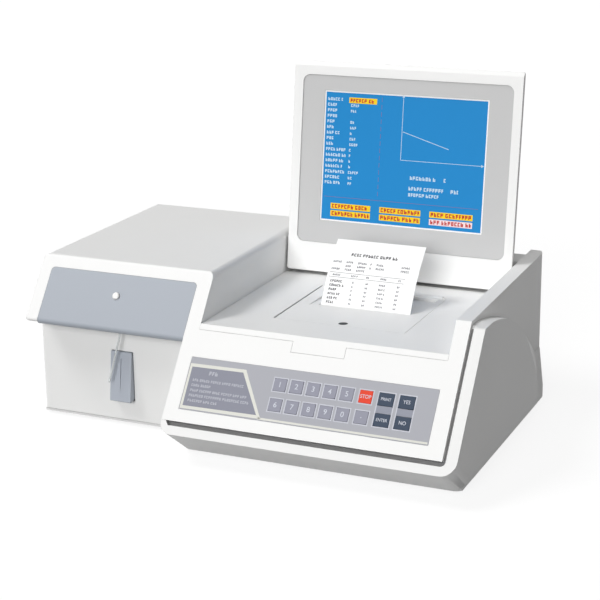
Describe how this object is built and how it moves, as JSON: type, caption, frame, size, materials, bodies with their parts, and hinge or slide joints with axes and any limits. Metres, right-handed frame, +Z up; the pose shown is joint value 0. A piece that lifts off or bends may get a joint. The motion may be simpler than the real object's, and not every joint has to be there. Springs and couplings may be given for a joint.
{
  "type": "semi-automatic chemistry analyzer",
  "caption": "Bench analyzer with a sampling head, a sloping keypad, a fold-down screen, a paper printer under a lid, and its optics, pump and electronics inside.",
  "frame": {"origin": "bottom centre of the whole object, on the surface it stands on", "axes": "+X to the right as the user faces it, +Y towards its rear, +Z up"},
  "size_m": [0.557, 0.3954, 0.4081],
  "materials": {
    "housing_white": "fine satin moulded plastic",
    "tray_white": "fine satin moulded plastic",
    "lever_grey": "satin moulded plastic",
    "panel_blue_grey": "painted plastic",
    "button_white": "polished plastic",
    "display_shell": "fine satin moulded plastic",
    "bezel_grey": "matt moulded plastic",
    "screen": "smooth screen, lit blue",
    "overlay_grey": "fine textured membrane",
    "key_grey": "matt key cap",
    "key_red": "matt key cap",
    "key_blue": "matt key cap",
    "paper_white": "smooth thermal paper",
    "rubber_black": "matt rubber",
    "steel": "brushed",
    "inner_black": "matt moulded plastic",
    "inner_grey": "matt moulded plastic",
    "aluminium": "milled",
    "motor_steel": "turned steel can",
    "supply_case": "perforated case, filled with parts and air",
    "board_green": "coated circuit board",
    "tube_clear": "translucent flexible tube",
    "nozzle_white": "matt moulded plastic"
  },
  "bodies": {
    "base": {"upper_housing": "housing_white", "lower_tray": "tray_white", "sample_bay": "housing_white", "head_panel": "panel_blue_grey", "deck_tray": "housing_white", "rear_panel": "steel", "foot_pads": "rubber_black", "case_screws": "steel", "keypad_overlay": "overlay_grey", "keypad_board": "board_green", "lever_switch": "inner_black", "lever_spring": "steel", "sipper_nozzle": "nozzle_white", "sipper_tube": "tube_clear", "hinge_brackets": "inner_grey", "paper_bay": "inner_grey", "print_head": "aluminium", "optical_bench": "aluminium", "lamp_house": "aluminium", "filter_motor": "motor_steel", "flow_cell_block": "aluminium", "detector_board": "board_green", "pump_body": "inner_black", "main_board": "board_green", "power_supply": "supply_case", "fan_frame": "inner_black", "power_inlet": "inner_black", "data_socket": "aluminium"},
    "display": {"display_front_frame": "housing_white", "display_back_shell": "display_shell", "display_bezel": "bezel_grey", "screen_glass": "screen", "lcd_panel": "board_green", "hinge_shaft": "steel"},
    "cover": {"printer_cover": "housing_white", "paper_slip": "paper_white"},
    "roll": {"paper_roll": "paper_white"},
    "platen": {"platen_roller": "rubber_black"},
    "filters": {"filter_wheel": "inner_black"},
    "pump": {"pump_rotor": "inner_grey"},
    "fan": {"fan_rotor": "inner_black"},
    "rocker": {"power_switch": "inner_black"},
    "lever": {"aspirate_lever": "lever_grey"},
    "button": {"wash_button": "button_white"},
    "key_1_cap": {"key_1": "key_grey"},
    "key_2_cap": {"key_2": "key_grey"},
    "key_3_cap": {"key_3": "key_grey"},
    "key_4_cap": {"key_4": "key_grey"},
    "key_5_cap": {"key_5": "key_grey"},
    "key_stop_cap": {"key_stop": "key_red"},
    "key_6_cap": {"key_6": "key_grey"},
    "key_7_cap": {"key_7": "key_grey"},
    "key_8_cap": {"key_8": "key_grey"},
    "key_9_cap": {"key_9": "key_grey"},
    "key_0_cap": {"key_0": "key_grey"},
    "key_point_cap": {"key_point": "key_grey"},
    "key_print_cap": {"key_print": "key_blue"},
    "key_enter_cap": {"key_enter": "key_blue"},
    "key_yes_cap": {"key_yes": "key_blue"},
    "key_no_cap": {"key_no": "key_blue"}
  },
  "joints": [
    {"name": "display_fold", "type": "hinge", "parent": "base", "child": "display", "pos_m": [0, 0.13, 0.1621], "axis": [1, 0, 0], "range_deg": [-15, 97.6], "deforming": ["paper_slip"]},
    {"name": "cover_lift", "type": "hinge", "parent": "base", "child": "cover", "pos_m": [0.102, 0.0782, 0.1442], "axis": [1, 0, 0], "range_deg": [-50, 0]},
    {"name": "lever_press", "type": "hinge", "parent": "base", "child": "lever", "pos_m": [-0.1665, -0.0948, 0.0885], "axis": [1, 0, 0], "range_deg": [0, 5.7], "stiffness_Nm_per_rad": 1, "springref_deg": -2.86, "deforming": ["lever_spring"]},
    {"name": "wash_press", "type": "slide", "parent": "base", "child": "button", "axis": [0, 0.8054, -0.5927], "range_m": [0, 0.0012], "stiffness_N_per_m": 500},
    {"name": "roll_turn", "type": "hinge", "parent": "base", "child": "roll", "pos_m": [0.1004, 0.0352, 0.112], "axis": [1, 0, 0], "continuous": true},
    {"name": "platen_turn", "type": "hinge", "parent": "base", "child": "platen", "pos_m": [0.1004, -0.0051, 0.131], "axis": [1, 0, 0], "continuous": true},
    {"name": "filter_wheel_turn", "type": "hinge", "parent": "base", "child": "filters", "pos_m": [-0.1845, 0.0912, 0.108], "axis": [0, 1, 0], "continuous": true},
    {"name": "pump_turn", "type": "hinge", "parent": "base", "child": "pump", "pos_m": [-0.1025, -0.0778, 0.062], "axis": [0, 1, 0], "continuous": true},
    {"name": "fan_turn", "type": "hinge", "parent": "base", "child": "fan", "pos_m": [0.0515, 0.1872, 0.098], "axis": [0, 1, 0], "continuous": true},
    {"name": "switch_rock", "type": "hinge", "parent": "base", "child": "rocker", "pos_m": [0.1615, 0.1924, 0.116], "axis": [0, 0, 1], "range_deg": [-12, 0]},
    {"name": "key_1_press", "type": "slide", "parent": "base", "child": "key_1_cap", "axis": [0, 0.8054, -0.5927], "range_m": [0, 0.0005], "stiffness_N_per_m": 2000},
    {"name": "key_2_press", "type": "slide", "parent": "base", "child": "key_2_cap", "axis": [0, 0.8054, -0.5927], "range_m": [0, 0.0005], "stiffness_N_per_m": 2000},
    {"name": "key_3_press", "type": "slide", "parent": "base", "child": "key_3_cap", "axis": [0, 0.8054, -0.5927], "range_m": [0, 0.0005], "stiffness_N_per_m": 2000},
    {"name": "key_4_press", "type": "slide", "parent": "base", "child": "key_4_cap", "axis": [0, 0.8054, -0.5927], "range_m": [0, 0.0005], "stiffness_N_per_m": 2000},
    {"name": "key_5_press", "type": "slide", "parent": "base", "child": "key_5_cap", "axis": [0, 0.8054, -0.5927], "range_m": [0, 0.0005], "stiffness_N_per_m": 2000},
    {"name": "key_stop_press", "type": "slide", "parent": "base", "child": "key_stop_cap", "axis": [0, 0.8054, -0.5927], "range_m": [0, 0.0005], "stiffness_N_per_m": 2000},
    {"name": "key_6_press", "type": "slide", "parent": "base", "child": "key_6_cap", "axis": [0, 0.8054, -0.5927], "range_m": [0, 0.0005], "stiffness_N_per_m": 2000},
    {"name": "key_7_press", "type": "slide", "parent": "base", "child": "key_7_cap", "axis": [0, 0.8054, -0.5927], "range_m": [0, 0.0005], "stiffness_N_per_m": 2000},
    {"name": "key_8_press", "type": "slide", "parent": "base", "child": "key_8_cap", "axis": [0, 0.8054, -0.5927], "range_m": [0, 0.0005], "stiffness_N_per_m": 2000},
    {"name": "key_9_press", "type": "slide", "parent": "base", "child": "key_9_cap", "axis": [0, 0.8054, -0.5927], "range_m": [0, 0.0005], "stiffness_N_per_m": 2000},
    {"name": "key_0_press", "type": "slide", "parent": "base", "child": "key_0_cap", "axis": [0, 0.8054, -0.5927], "range_m": [0, 0.0005], "stiffness_N_per_m": 2000},
    {"name": "key_point_press", "type": "slide", "parent": "base", "child": "key_point_cap", "axis": [0, 0.8054, -0.5927], "range_m": [0, 0.0005], "stiffness_N_per_m": 2000},
    {"name": "key_print_press", "type": "slide", "parent": "base", "child": "key_print_cap", "axis": [0, 0.8054, -0.5927], "range_m": [0, 0.0005], "stiffness_N_per_m": 2000},
    {"name": "key_enter_press", "type": "slide", "parent": "base", "child": "key_enter_cap", "axis": [0, 0.8054, -0.5927], "range_m": [0, 0.0005], "stiffness_N_per_m": 2000},
    {"name": "key_yes_press", "type": "slide", "parent": "base", "child": "key_yes_cap", "axis": [0, 0.8054, -0.5927], "range_m": [0, 0.0005], "stiffness_N_per_m": 2000},
    {"name": "key_no_press", "type": "slide", "parent": "base", "child": "key_no_cap", "axis": [0, 0.8054, -0.5927], "range_m": [0, 0.0005], "stiffness_N_per_m": 2000}
  ],
  "couplings": [
    {"joint": "platen_turn", "follows": "roll_turn", "ratio": -3.6667}
  ]
}
